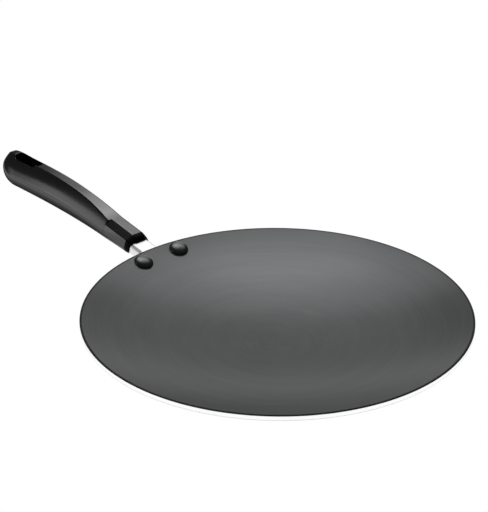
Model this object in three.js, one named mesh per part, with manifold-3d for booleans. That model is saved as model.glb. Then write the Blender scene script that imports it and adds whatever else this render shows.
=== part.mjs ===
import * as THREE from 'three';
import { mergeVertices } from 'three/addons/utils/BufferGeometryUtils.js';
import Module from 'manifold-3d';

// A concave tawa: a spun pan turned flat underneath, a pressed bracket riveted under its rim, and a moulded
// handle that slides over the bracket's tongue and is held there by one screw from below.
// Millimetres, +Z up. The origin is the middle of the base, on the hob, and the handle runs along +X.

// Pan
const PAN_DIAMETER = 280;
const PAN_DEPTH = 24; // from the rim down to the middle
const PAN_SHEET = 4; // wall thickness
const FLOOR_DIAMETER = 16; // flat middle of the inside
const BASE_DIAMETER = 84; // flat that stands on the hob
const WALL_CURVE = 2; // power of the curve from floor to rim: larger turns up later
const RIM_ROUND = 0.8; // softened corners of the cut edge

// Clearance between pieces that seat on each other
const FIT = 0.3;

// Rivets
const RIVET_INSET = 9.4; // rim to rivet axis
const RIVET_SPACING = 34.2;
const RIVET_HEAD_DIAMETER = 14.6;
const RIVET_HEAD_HEIGHT = 2.7;
const RIVET_SHANK = 6;
const RIVET_TAIL_DIAMETER = 10;
const RIVET_TAIL_HEIGHT = 2;

// Bracket
const BRACKET_SHEET = 2;
const FLANGE_SIDE = 10.6; // rivet axis to the flange's side
const FLANGE_END = 16.5; // rivet axis to the flange's inner end
const FLANGE_CORNER = 10;
const NECK_RADIUS = 25; // bend from the wall's slope to the tongue's
const FOLD_LENGTH = 5; // how far inside the rim the sides start to fold down
const TONGUE_TILT = THREE.MathUtils.degToRad(9);
const TONGUE_WIDTH = 18.4;
const TONGUE_HEIGHT = 6.6; // folded sides included
const TONGUE_BEND = 3.2; // mid-sheet radius of the folds
const TONGUE_LENGTH = 57; // inside the handle

// Handle
const MOUTH_GAP = 15.5; // rim to the handle's mouth
const GRIP_LENGTH = 169.3;
const MOUTH_SIDE_WALL = 1.5;
const MOUTH_TOP_WALL = 3.9;
const MOUTH_BOTTOM_WALL = 2.65;
const NECK_LENGTH = 31; // mouth to the step where the notch ends
const NECK_RISE = 5.45; // mouth to step, along the top
const STEP_RUN = 0.2; // length over which the step falls
const TOP_RISE = 19.45; // mouth to butt, along the top
const BOTTOM_RISE = 9.55; // mouth to butt, along the underside
const TOP_EASE = 3.15; // power of the rise along the top: larger levels off sooner
const BOTTOM_EASE = 2.55; // and along the underside
const GRIP_WIDTH = 32.9; // at the butt, before its end is rounded
const WIDEST_AT_MOUTH = 0.41; // height of the widest line, as a share of the section's
const WIDEST_AT_BUTT = 0.38;
const BUTT_ROUND = 23.3; // length of the rounded end
const BUTT_LIFT = 7.8; // rise of the widest line to the tip
const BUTT_CURVE = 2.32; // power of its outline: larger is blunter
const NOSE_LENGTH = 5.5; // rounded lip round the mouth
const NOSE_INSET = 3.4;
const FLAT_WIDTH = 7.9; // flat along the top
const FLARE_WIDTH = 12.7; // the same flat at the step
const FLARE_LENGTH = 47.5;
const NOTCH_FROM_MIDDLE = 2.1; // inner edge of the notch in the neck's left side
const LAND_DROP = 2.5; // fall of the notch's tilted land from that edge to the side
const LAND_MOUTH_EDGE = 1.75; // the side stands out this far past the land, at the mouth
const LAND_STEP_EDGE = 2.9; // and at the step
const LAND_BROW = 0.85; // share of the fall from the land to the widest line where the side turns upright
const SHOULDER_STEEP = THREE.MathUtils.degToRad(49); // crease beside the flat, at the step
const SHOULDER_SOFT = THREE.MathUtils.degToRad(34); // and at the butt
const SIDE_CURVE = 2.3; // power of the round side: larger is squarer
const UNDERSIDE_WIDTH = 6;
const SLOT_LENGTH = 31;
const SLOT_WIDTH = 12;
const SLOT_FROM_BUTT = 27.3; // slot centre to the handle's end

// Screw, washers and nut
const SCREW_FROM_END = 7; // screw axis to the tongue's end
const SCREW_DIAMETER = 4;
const SCREW_HEAD_DIAMETER = 8;
const SCREW_HEAD_HEIGHT = 2.2;
const RECESS_LENGTH = 4.4;
const RECESS_WIDTH = 1.1;
const RECESS_DEPTH = 1.3;
const SCREW_SEAT = 1.8; // wall left between the socket and the counterbore
const COUNTERBORE_ROOM = 0.7; // round the plain washer
const PLAIN_WASHER_DIAMETER = 9;
const PLAIN_WASHER_THICKNESS = 0.8;
const SPRING_WASHER_DIAMETER = 7.6;
const SPRING_WASHER_THICKNESS = 0.9;
const SPRING_WASHER_SPLIT = 0.8;
const NUT_ACROSS = 8;
const NUT_RECESS = 0.9; // the nut ends this far inside the folded sides

// How finely round things are cut
const PAN_SEGMENTS = 72;
const ROUND_SEGMENTS = 24;
const WALL_STEPS = 10;
const ARC_STEPS = 4;
const NECK_STEPS = 3;
const BODY_STEPS = 10;
const BUTT_STEPS = 14;
const MERGE_DISTANCE = 1e-4;

const panRadius = PAN_DIAMETER / 2;
const floorRadius = FLOOR_DIAMETER / 2;
const baseRadius = BASE_DIAMETER / 2;
const wallRun = panRadius - floorRadius;

// Wall of the pan: height above the floor and slope, at a radius
const wallShare = (r) => Math.max(r - floorRadius, 0) / wallRun;
const wallRise = (r) => PAN_DEPTH * wallShare(r) ** WALL_CURVE;
const wallSlope = (r) => ((WALL_CURVE * PAN_DEPTH) / wallRun) * wallShare(r) ** (WALL_CURVE - 1);
const steepness = (r) => Math.hypot(1, wallSlope(r));

// The floor is as thick as it takes for the outside of the wall to land on the edge of the base
const floorHeight = PAN_SHEET * steepness(baseRadius) - wallRise(baseRadius);
const insideHeight = (r) => floorHeight + wallRise(r);
const outsideHeight = (r) => insideHeight(r) - PAN_SHEET * steepness(r);
const rimHeight = insideHeight(panRadius);

const wasm = await Module();
wasm.setup();

const { lerp, smoothstep } = THREE.MathUtils;
const range = (count) => Array.from({ length: count }, (_, i) => i);
const spread = (from, to, steps) => range(steps).map((i) => lerp(from, to, i / steps)); // last end left out
const point = (x, y) => new THREE.Vector2(x, y);

// Arc of points about a centre, ends included
function arc(cx, cy, radius, from, to, steps = ARC_STEPS) {
  return range(steps + 1).map((i) => {
    const angle = lerp(from, to, i / steps);
    return point(cx + radius * Math.cos(angle), cy + radius * Math.sin(angle));
  });
}

// Booleans on closed geometries
function solidOf(geometry) {
  const bare = geometry.clone();
  bare.deleteAttribute('normal');
  bare.deleteAttribute('uv');
  const merged = mergeVertices(bare, MERGE_DISTANCE);
  const corners = merged.index.array;
  const triangles = [];
  for (let i = 0; i < corners.length; i += 3) {
    const [a, b, c] = corners.slice(i, i + 3);
    if (a !== b && b !== c && c !== a) triangles.push(a, b, c);
  }
  return new wasm.Manifold(new wasm.Mesh({
    numProp: 3,
    vertProperties: new Float32Array(merged.attributes.position.array),
    triVerts: new Uint32Array(triangles),
  }));
}

function cut(geometry, ...tools) {
  const solid = tools.reduce((rest, tool) => rest.subtract(solidOf(tool)), solidOf(geometry));
  const mesh = solid.getMesh();
  const result = new THREE.BufferGeometry();
  result.setAttribute('position', new THREE.Float32BufferAttribute(mesh.vertProperties, 3));
  result.setIndex(Array.from(mesh.triVerts));
  result.computeVertexNormals();
  return result;
}

// Turned solid about Z, from a profile of radius and height that runs anticlockwise
function turned(profile, segments = ROUND_SEGMENTS) {
  return new THREE.LatheGeometry(profile, segments).rotateX(Math.PI / 2);
}

function rod(diameter, bottom, top) {
  const radius = diameter / 2;
  return turned([point(0, bottom), point(radius, bottom), point(radius, top), point(0, top)]);
}

function ring(inside, outside, thickness) {
  const [inner, outer] = [inside / 2, outside / 2];
  return turned([
    point(inner, 0),
    point(outer, 0),
    point(outer, thickness),
    point(inner, thickness),
    point(inner, 0),
  ]);
}

// Closed skin over a run of sections with the same number of points. In each section a point and the one
// as far from the end of the list face each other, so the two end sections close by joining those pairs.
function loft(sections) {
  const count = sections[0].length;
  const index = [];
  for (let i = 0; i + 1 < sections.length; i += 1) {
    for (let j = 0; j < count; j += 1) {
      const a = i * count + j;
      const b = i * count + (j + 1) % count;
      index.push(a, b, b + count, a, b + count, a + count);
    }
  }
  const last = (sections.length - 1) * count;
  for (let j = 0; j + 1 < count / 2; j += 1) {
    const [a, b, c, d] = [j, j + 1, count - 2 - j, count - 1 - j];
    index.push(a, c, b, a, d, c);
    index.push(last + a, last + b, last + c, last + a, last + c, last + d);
  }
  const geometry = new THREE.BufferGeometry();
  geometry.setAttribute('position', new THREE.Float32BufferAttribute(sections.flat(2), 3));
  geometry.setIndex(index);
  geometry.computeVertexNormals();
  return geometry;
}

// Rivet axes: square to the wall, either side of the handle
const rivetRadius = panRadius - RIVET_INSET;
const rivetLean = Math.atan(wallSlope(rivetRadius));
const rivetTurn = Math.asin(RIVET_SPACING / 2 / rivetRadius);
const rivetSides = [{ name: 'rivet_left', turn: rivetTurn }, { name: 'rivet_right', turn: -rivetTurn }];
const rivetGrip = PAN_SHEET + FIT + BRACKET_SHEET; // what the shank passes through
const flangeHalf = RIVET_SPACING / 2 + FLANGE_SIDE;
const flangeLength = RIVET_INSET + FLANGE_END;

function onRivetAxis(object, turn) {
  const frame = new THREE.Group();
  frame.rotation.z = turn;
  object.position.set(rivetRadius, 0, insideHeight(rivetRadius));
  object.rotation.y = -rivetLean;
  frame.add(object);
  return frame;
}

function rivetHole(turn) {
  const hole = new THREE.Mesh(rod(RIVET_SHANK + 2 * FIT, -4 * rivetGrip, 4 * rivetGrip));
  onRivetAxis(hole, turn).updateMatrixWorld(true);
  return hole.geometry.applyMatrix4(hole.matrixWorld);
}

// Dome, shank and formed tail, with the head's seat just off the inside of the wall
function rivetGeometry() {
  const [head, shank, tail] = [RIVET_HEAD_DIAMETER / 2, RIVET_SHANK / 2, RIVET_TAIL_DIAMETER / 2];
  const tailTop = -rivetGrip - FIT;
  const dome = range(ROUND_SEGMENTS / 4 + 1).map((i) => {
    const angle = (i * Math.PI * 2) / ROUND_SEGMENTS;
    return point(head * Math.cos(angle), FIT + RIVET_HEAD_HEIGHT * Math.sin(angle));
  });
  dome[dome.length - 1].x = 0;
  return turned([
    point(0, tailTop - RIVET_TAIL_HEIGHT),
    point(tail - RIVET_TAIL_HEIGHT / 2, tailTop - RIVET_TAIL_HEIGHT),
    point(tail, tailTop - RIVET_TAIL_HEIGHT / 2),
    point(tail, tailTop),
    point(shank, tailTop),
    point(shank, FIT),
    ...dome,
  ]);
}

function panGeometry() {
  const edge = panRadius - RIM_ROUND;
  const outside = range(WALL_STEPS).map((i) => {
    const r = lerp(baseRadius, edge, i / WALL_STEPS);
    return point(r, Math.max(outsideHeight(r), 0));
  });
  const inside = range(WALL_STEPS + 1).map((i) => {
    const r = lerp(edge, floorRadius, i / WALL_STEPS);
    return point(r, insideHeight(r));
  });
  const profile = [
    point(0, 0),
    ...outside,
    ...arc(edge, outsideHeight(edge) + RIM_ROUND, RIM_ROUND, -Math.PI / 2, 0),
    ...arc(edge, insideHeight(edge) - RIM_ROUND, RIM_ROUND, 0, Math.PI / 2).slice(0, -1),
    ...inside,
    point(0, floorHeight),
  ];
  return cut(turned(profile, PAN_SEGMENTS), ...rivetSides.map(({ turn }) => rivetHole(turn)));
}

// Centre line of the bracket in the plane of the handle: it follows the outside of the wall, bends at the
// neck and runs straight along the tongue. Each station has its place, its slope angle and its half width.
const sheetOffset = PAN_SHEET + FIT + BRACKET_SHEET / 2;
const rimLean = Math.atan(wallSlope(panRadius));
const neckStart = {
  x: panRadius + sheetOffset * Math.sin(rimLean),
  z: rimHeight - sheetOffset * Math.cos(rimLean),
};
const neckEnd = {
  x: neckStart.x + NECK_RADIUS * (Math.sin(rimLean) - Math.sin(TONGUE_TILT)),
  z: neckStart.z + NECK_RADIUS * (Math.cos(TONGUE_TILT) - Math.cos(rimLean)),
};

// Frame of the tongue: origin on the middle of its sheet at the mouth, x along it and z square to it
const mouthX = panRadius + MOUTH_GAP;
const mouthZ = neckEnd.z + (mouthX - neckEnd.x) * Math.tan(TONGUE_TILT);
const tongueFrame = new THREE.Matrix4().makeTranslation(mouthX, 0, mouthZ)
  .multiply(new THREE.Matrix4().makeRotationY(-TONGUE_TILT));
const tongueTop = BRACKET_SHEET / 2;
const tongueBottom = tongueTop - TONGUE_HEIGHT;

// Screw stack: its place along the tongue, and heights square to it
const screwAlong = TONGUE_LENGTH - SCREW_FROM_END;
const screwSeat = tongueBottom - FIT - SCREW_SEAT;
const plainWasherTop = screwSeat - FIT;
const springWasherTop = plainWasherTop - PLAIN_WASHER_THICKNESS - FIT;
const screwHeadTop = springWasherTop - SPRING_WASHER_THICKNESS - FIT;
const nutTop = -tongueTop - FIT;
const nutHeight = nutTop - tongueBottom - NUT_RECESS;

function bracketStations() {
  const flange = range(WALL_STEPS).map((i) => {
    const along = (flangeLength * i) / WALL_STEPS;
    const r = panRadius - flangeLength + along;
    const lean = Math.atan(wallSlope(r));
    const fromEnd = Math.max(FLANGE_CORNER - along, 0);
    return {
      x: r + sheetOffset * Math.sin(lean),
      z: insideHeight(r) - sheetOffset * Math.cos(lean),
      lean,
      half: flangeHalf - FLANGE_CORNER + Math.sqrt(FLANGE_CORNER ** 2 - fromEnd ** 2),
    };
  });
  const neck = range(2 * ARC_STEPS).map((i) => {
    const lean = lerp(rimLean, TONGUE_TILT, i / (2 * ARC_STEPS));
    return {
      x: neckStart.x + NECK_RADIUS * (Math.sin(rimLean) - Math.sin(lean)),
      z: neckStart.z + NECK_RADIUS * (Math.cos(lean) - Math.cos(rimLean)),
      lean,
      half: flangeHalf,
    };
  });
  const tongueEnd = mouthX + TONGUE_LENGTH * Math.cos(TONGUE_TILT);
  const tongue = range(ARC_STEPS + 1).map((i) => {
    const x = lerp(neckEnd.x, tongueEnd, i / ARC_STEPS);
    return { x, z: mouthZ + (x - mouthX) * Math.tan(TONGUE_TILT), lean: TONGUE_TILT, half: flangeHalf };
  });
  return [...flange, ...neck, ...tongue];
}

// Half of a folded section on one face of the sheet: flat top, round fold, straight side
function foldedHalf(face) {
  const flat = TONGUE_WIDTH / 2 - BRACKET_SHEET / 2 - TONGUE_BEND;
  const fold = arc(flat, -TONGUE_BEND, TONGUE_BEND + face, Math.PI / 2, 0);
  return [
    ...range(ARC_STEPS).map((i) => point((flat * i) / ARC_STEPS, face)),
    ...fold,
    point(flat + TONGUE_BEND + face, tongueBottom),
  ].slice(1);
}

// The same number of points spread over a flat section
function flatHalf(face, half, count) {
  return range(count).map((i) => point((half * (i + 1)) / count, face));
}

function bracketGeometry() {
  const sections = bracketStations().map(({ x, z, lean, half }) => {
    const folded = smoothstep(x, neckStart.x - FOLD_LENGTH, neckEnd.x);
    const place = (side, { x: across, y: height }) => {
      const reach = x - height * Math.sin(lean);
      const turn = (side * across) / reach;
      return [reach * Math.cos(turn), reach * Math.sin(turn), z + height * Math.cos(lean)];
    };
    const face = (height) => {
      const end = foldedHalf(height);
      const start = flatHalf(height, half, end.length);
      return end.map((to, i) => start[i].clone().lerp(to, folded));
    };
    const [top, bottom] = [face(BRACKET_SHEET / 2), face(-BRACKET_SHEET / 2)];
    return [
      ...top.toReversed().map((at) => place(1, at)),
      ...top.map((at) => place(-1, at)),
      ...bottom.toReversed().map((at) => place(-1, at)),
      ...bottom.map((at) => place(1, at)),
    ];
  });
  const screwHole = rod(SCREW_DIAMETER + 2 * FIT, tongueBottom, 2 * tongueTop)
    .translate(screwAlong, 0, 0)
    .applyMatrix4(tongueFrame);
  return cut(loft(sections), screwHole, ...rivetSides.map(({ turn }) => rivetHole(turn)));
}

// Lines that the handle follows from mouth to butt
const mouthTop = mouthZ + (tongueTop + FIT) + MOUTH_TOP_WALL;
const mouthBottom = mouthZ + (tongueBottom - FIT) - MOUTH_BOTTOM_WALL;
const mouthWidth = TONGUE_WIDTH + 2 * (FIT + MOUTH_SIDE_WALL);
const stepTop = mouthTop + NECK_RISE;
const bodyLength = GRIP_LENGTH - NECK_LENGTH;
const easeOut = (t, power) => 1 - (1 - t) ** power;

function gripTop(along) {
  if (along < NECK_LENGTH) return mouthTop + (NECK_RISE * along) / NECK_LENGTH;
  const body = Math.min((along - NECK_LENGTH) / (bodyLength - BUTT_ROUND), 1);
  return stepTop + (TOP_RISE - NECK_RISE) * easeOut(body, TOP_EASE);
}

const gripBottom = (along) => mouthBottom + BOTTOM_RISE * easeOut(along / GRIP_LENGTH, BOTTOM_EASE);
const gripHalf = (along) => lerp(mouthWidth, GRIP_WIDTH, along / GRIP_LENGTH) / 2;

// Section of the handle: flat, shoulder, then a round side down to the underside. On the neck's left side the
// flat and shoulder are cut back to a tilted land, which leaves half of a narrow rib on top.
function gripSection(along, onNeck) {
  const butt = Math.max(along - (GRIP_LENGTH - BUTT_ROUND), 0) / BUTT_ROUND;
  const buttScale = (1 - butt ** BUTT_CURVE) ** (1 / BUTT_CURVE);
  const nose = Math.max(NOSE_LENGTH - along, 0) / NOSE_LENGTH;
  const inset = NOSE_INSET * (1 - Math.sqrt(1 - nose ** 2));
  const [highest, lowest] = [gripTop(along), gripBottom(along)];
  const level = lerp(lowest, highest, lerp(WIDEST_AT_MOUTH, WIDEST_AT_BUTT, along / GRIP_LENGTH));
  const widest = level + BUTT_LIFT * butt ** 2;
  const top = widest + (highest - level) * buttScale - inset;
  const depth = (level - lowest) * buttScale - inset;
  const half = gripHalf(along) * buttScale - inset;

  const flare = Math.max(NECK_LENGTH + FLARE_LENGTH - along, 0) / FLARE_LENGTH;
  const endScale = half / gripHalf(along);
  const flat = (lerp(FLAT_WIDTH, FLARE_WIDTH, Math.min(flare, 1) ** 2) / 2) * endScale;
  const body = Math.max(along - NECK_LENGTH, 0) / bodyLength;
  const shoulder = lerp(SHOULDER_STEEP, SHOULDER_SOFT, Math.min(body, 1));
  const landEdge = lerp(LAND_MOUTH_EDGE, LAND_STEP_EDGE, along / NECK_LENGTH);
  const landEnd = point(half - landEdge, top - LAND_DROP);
  const sole = Math.min(UNDERSIDE_WIDTH, half) / 2;
  const power = 2 / SIDE_CURVE;
  const side = range(2 * ARC_STEPS).map((i) => {
    const angle = ((i + 1) / (2 * ARC_STEPS)) * (Math.PI / 2);
    return point(sole + (half - sole) * Math.cos(angle) ** power, widest - depth * Math.sin(angle) ** power);
  });
  side.at(-1).set(sole, widest - depth);
  const halfSection = (crown, bulge) => {
    const brow = new THREE.QuadraticBezierCurve(crown.at(-1), point(half, bulge), point(half, widest))
      .getPoints(2 * ARC_STEPS - crown.length + 1)
      .slice(1);
    return [...crown, ...brow, ...side];
  };
  const plain = halfSection([point(flat, top)], top - (half - flat) * Math.tan(shoulder));
  const left = onNeck
    ? halfSection([point(NOTCH_FROM_MIDDLE, top), landEnd], lerp(landEnd.y, widest, LAND_BROW))
    : plain;
  const x = mouthX + along;
  return [
    ...plain.map((at) => [x, -at.x, at.y]),
    ...left.toReversed().map((at) => [x, at.x, at.y]),
  ];
}

function gripGeometry() {
  const stepEnd = NECK_LENGTH - STEP_RUN;
  const flareEnd = NECK_LENGTH + FLARE_LENGTH;
  const buttStart = GRIP_LENGTH - BUTT_ROUND;
  const nose = spread(0, Math.PI / 2, ARC_STEPS).map((angle) => NOSE_LENGTH * (1 - Math.cos(angle)));
  const neck = [...spread(NOSE_LENGTH, stepEnd, NECK_STEPS), stepEnd];
  const flare = spread(NECK_LENGTH, flareEnd, ARC_STEPS);
  const body = spread(flareEnd, buttStart, BODY_STEPS);
  const butt = spread(0, Math.PI / 2, BUTT_STEPS).map((angle) => buttStart + BUTT_ROUND * Math.sin(angle));
  const grip = loft([
    ...[...nose, ...neck].map((along) => gripSection(along, true)),
    ...[...flare, ...body, ...butt].map((along) => gripSection(along, false)),
  ]);

  const [halfSocket, roof, deck] = [TONGUE_WIDTH / 2 + FIT, tongueTop + FIT, tongueBottom - FIT];
  const corner = TONGUE_BEND + BRACKET_SHEET / 2 + FIT;
  const socketShape = new THREE.Shape([
    point(-halfSocket, deck),
    point(halfSocket, deck),
    ...arc(halfSocket - corner, roof - corner, corner, 0, Math.PI / 2),
    ...arc(corner - halfSocket, roof - corner, corner, Math.PI / 2, Math.PI),
  ]);
  const socket = new THREE.ExtrudeGeometry(socketShape, {
    depth: MOUTH_GAP + TONGUE_LENGTH + FIT,
    bevelEnabled: false,
  }).rotateX(Math.PI / 2).rotateZ(Math.PI / 2).translate(-MOUTH_GAP, 0, 0).applyMatrix4(tongueFrame);

  const straight = (SLOT_LENGTH - SLOT_WIDTH) / 2;
  const slotShape = new THREE.Shape([
    ...arc(straight, 0, SLOT_WIDTH / 2, -Math.PI / 2, Math.PI / 2, 2 * ARC_STEPS),
    ...arc(-straight, 0, SLOT_WIDTH / 2, Math.PI / 2, (3 * Math.PI) / 2, 2 * ARC_STEPS),
  ]);
  const slotFrom = mouthBottom - TOP_RISE;
  const slot = new THREE.ExtrudeGeometry(slotShape, {
    depth: mouthTop + 2 * TOP_RISE - slotFrom,
    bevelEnabled: false,
  }).translate(mouthX + GRIP_LENGTH - SLOT_FROM_BUTT, 0, slotFrom);

  const below = screwSeat - TOP_RISE;
  const onScrewAxis = (geometry) => geometry.translate(screwAlong, 0, 0).applyMatrix4(tongueFrame);
  const screwWay = onScrewAxis(rod(SCREW_DIAMETER + 2 * FIT, below, 0));
  const counterbore = onScrewAxis(rod(PLAIN_WASHER_DIAMETER + 2 * COUNTERBORE_ROOM, below, screwSeat));
  return cut(grip, socket, slot, screwWay, counterbore);
}

function screwGeometry() {
  const [head, shank] = [SCREW_HEAD_DIAMETER / 2, SCREW_DIAMETER / 2];
  const bottom = screwHeadTop - SCREW_HEAD_HEIGHT;
  const crown = arc(head - SCREW_HEAD_HEIGHT, screwHeadTop, SCREW_HEAD_HEIGHT, -Math.PI / 2, 0);
  const screw = turned([
    point(0, bottom),
    ...crown,
    point(shank, screwHeadTop),
    point(shank, tongueTop),
    point(0, tongueTop),
  ]);
  const blade = new THREE.BoxGeometry(RECESS_LENGTH, RECESS_WIDTH, 2 * RECESS_DEPTH).translate(0, 0, bottom);
  return cut(screw, blade, blade.clone().rotateZ(Math.PI / 2));
}

function springWasherGeometry() {
  const [inner, outer] = [SCREW_DIAMETER / 2 + FIT, SPRING_WASHER_DIAMETER / 2];
  const half = Math.asin(SPRING_WASHER_SPLIT / 2 / outer);
  const shape = new THREE.Shape([
    ...arc(0, 0, outer, half, 2 * Math.PI - half, ROUND_SEGMENTS),
    ...arc(0, 0, inner, 2 * Math.PI - half, half, ROUND_SEGMENTS),
  ]);
  return new THREE.ExtrudeGeometry(shape, { depth: SPRING_WASHER_THICKNESS, bevelEnabled: false })
    .translate(0, 0, springWasherTop - SPRING_WASHER_THICKNESS);
}

function plainWasherGeometry() {
  return ring(SCREW_DIAMETER + 2 * FIT, PLAIN_WASHER_DIAMETER, PLAIN_WASHER_THICKNESS)
    .translate(0, 0, plainWasherTop - PLAIN_WASHER_THICKNESS);
}

function nutGeometry() {
  const bore = rod(SCREW_DIAMETER + 2 * FIT, nutTop - 2 * nutHeight, nutTop + nutHeight);
  const block = new THREE.BoxGeometry(NUT_ACROSS, NUT_ACROSS, nutHeight);
  return cut(block.translate(0, 0, nutTop - nutHeight / 2), bore);
}

// Materials
const coated = new THREE.MeshStandardMaterial({ color: 0x5a5b5e, roughness: 0.45, metalness: 0.7 });
const polished = new THREE.MeshStandardMaterial({ color: 0xd6d6d3, roughness: 0.2, metalness: 1 });
const blackGloss = new THREE.MeshStandardMaterial({ color: 0x0d0d0e, roughness: 0.25, metalness: 0.3 });
const phenolic = new THREE.MeshStandardMaterial({ color: 0x161617, roughness: 0.35, metalness: 0 });
const plated = new THREE.MeshStandardMaterial({ color: 0xb9bbbd, roughness: 0.35, metalness: 1 });

function mesh(name, geometry, material) {
  const node = new THREE.Mesh(geometry, material);
  node.name = name;
  return node;
}

// Assembly
const tawa = new THREE.Group();
tawa.add(mesh('pan_body', panGeometry(), coated));
tawa.add(mesh('handle_bracket', bracketGeometry(), polished));
for (const { name, turn } of rivetSides) {
  tawa.add(onRivetAxis(mesh(name, rivetGeometry(), blackGloss), turn));
}
tawa.add(mesh('handle_grip', gripGeometry(), phenolic));

const screwAxis = new THREE.Group();
screwAxis.position.set(screwAlong, 0, 0).applyMatrix4(tongueFrame);
screwAxis.rotation.y = -TONGUE_TILT;
screwAxis.add(mesh('bracket_nut', nutGeometry(), plated));
screwAxis.add(mesh('plain_washer', plainWasherGeometry(), plated));
screwAxis.add(mesh('spring_washer', springWasherGeometry(), plated));
screwAxis.add(mesh('handle_screw', screwGeometry(), plated));
tawa.add(screwAxis);

export default tawa;
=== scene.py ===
from math import asin, atan, cos, e, hypot, pi, radians, sin, tan

import bpy
import numpy as np
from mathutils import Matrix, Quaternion, Vector


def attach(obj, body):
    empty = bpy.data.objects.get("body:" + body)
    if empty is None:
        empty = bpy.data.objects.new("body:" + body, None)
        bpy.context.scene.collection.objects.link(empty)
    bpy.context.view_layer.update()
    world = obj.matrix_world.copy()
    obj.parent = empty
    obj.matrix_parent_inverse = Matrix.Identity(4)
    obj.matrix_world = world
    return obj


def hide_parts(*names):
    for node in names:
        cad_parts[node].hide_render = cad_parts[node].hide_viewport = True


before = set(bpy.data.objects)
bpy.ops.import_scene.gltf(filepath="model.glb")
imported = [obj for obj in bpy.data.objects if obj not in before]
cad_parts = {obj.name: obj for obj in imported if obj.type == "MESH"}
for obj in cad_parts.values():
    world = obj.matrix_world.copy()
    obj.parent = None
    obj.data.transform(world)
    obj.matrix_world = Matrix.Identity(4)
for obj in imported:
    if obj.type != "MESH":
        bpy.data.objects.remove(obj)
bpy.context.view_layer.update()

# Pan
# A disc of 4 mm aluminium, spun into a shallow bowl and turned flat underneath. It is turned all over and
# hard anodised dark grey inside. The edge is trimmed to bright metal afterwards, and the outside stays bare.
MM = 0.001
PAN_RADIUS, FLOOR_RADIUS, BASE_RADIUS = 140, 8, 42
PAN_DEPTH, PAN_SHEET, WALL_CURVE, RIM_ROUND = 24, 4, 2, 0.8
PAN_AROUND, WALL_ROWS, EDGE_ROWS, EDGE_BAND, FLOOR_ROWS = 288, 44, 8, 0.8, 10
WALL_RUN = PAN_RADIUS - FLOOR_RADIUS


def wall_rise(r):
    """Height above the floor: the depth times a power of the share of the way from floor to rim."""
    return PAN_DEPTH * (np.maximum(r - FLOOR_RADIUS, 0) / WALL_RUN) ** WALL_CURVE


def wall_slope(r):
    """The slope of that rise."""
    steepest = WALL_CURVE * PAN_DEPTH / WALL_RUN
    return steepest * (np.maximum(r - FLOOR_RADIUS, 0) / WALL_RUN) ** (WALL_CURVE - 1)


FLOOR_HEIGHT = PAN_SHEET * hypot(1, wall_slope(BASE_RADIUS)) - wall_rise(BASE_RADIUS)


def inside_height(r):
    """Inside of the pan above the hob."""
    return FLOOR_HEIGHT + wall_rise(r)


def outside_height(r):
    """Outside of the pan: the inside, less the sheet measured square to the wall."""
    return np.maximum(inside_height(r) - PAN_SHEET * np.hypot(1, wall_slope(r)), 0)


RIM_HEIGHT = float(inside_height(PAN_RADIUS))


def arc(x, z, radius, start, end, steps):
    """Points of a circle about (x, z), from one angle in degrees to another, both ends included."""
    angle = np.radians(np.linspace(start, end, steps + 1))
    return np.stack([x + radius * np.cos(angle), z + radius * np.sin(angle)], -1)


def turned(profile, around):
    """Each point (radius, height) of the profile goes round Z. The first and last, on the axis, are poles."""
    angle = np.linspace(0, 2 * pi, around, endpoint=False)
    radius, height = profile[1:-1, :1], profile[1:-1, 1:]
    rings = np.stack(np.broadcast_arrays(radius * np.cos(angle), radius * np.sin(angle), height), -1)
    points = np.concatenate([rings.reshape(-1, 3), [[0, 0, profile[0, 1]], [0, 0, profile[-1, 1]]]])
    index = np.arange(rings.shape[0] * around).reshape(-1, around)
    first, last = index.size, index.size + 1
    return points, quads(index) + fan(index[0], first) + fan(index[-1][::-1], last)


def quads(index):
    """Quads of a grid of point numbers whose last column joins its first."""
    beside = np.roll(index, -1, axis=1)
    return np.stack([index[:-1], beside[:-1], beside[1:], index[1:]], -1).reshape(-1, 4).tolist()


def fan(ring, pole):
    """Triangles that close a ring of point numbers at a pole."""
    return np.stack([np.roll(ring, -1), ring, np.full_like(ring, pole)], -1).tolist()


def piece(name, points, faces, slot, *nodes, sharp=35):
    """A mesh from points in millimetres, smooth but for edges past an angle, in place of CAD nodes."""
    mesh = bpy.data.meshes.new(name)
    mesh.from_pydata((np.asarray(points) * MM).tolist(), [], faces)
    mesh.shade_smooth()
    mesh.set_sharp_from_angle(angle=radians(sharp))
    thing = bpy.data.objects.new(name, mesh)
    bpy.context.scene.collection.objects.link(thing)
    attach(thing, "root")
    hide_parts(*nodes)
    return thing


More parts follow.
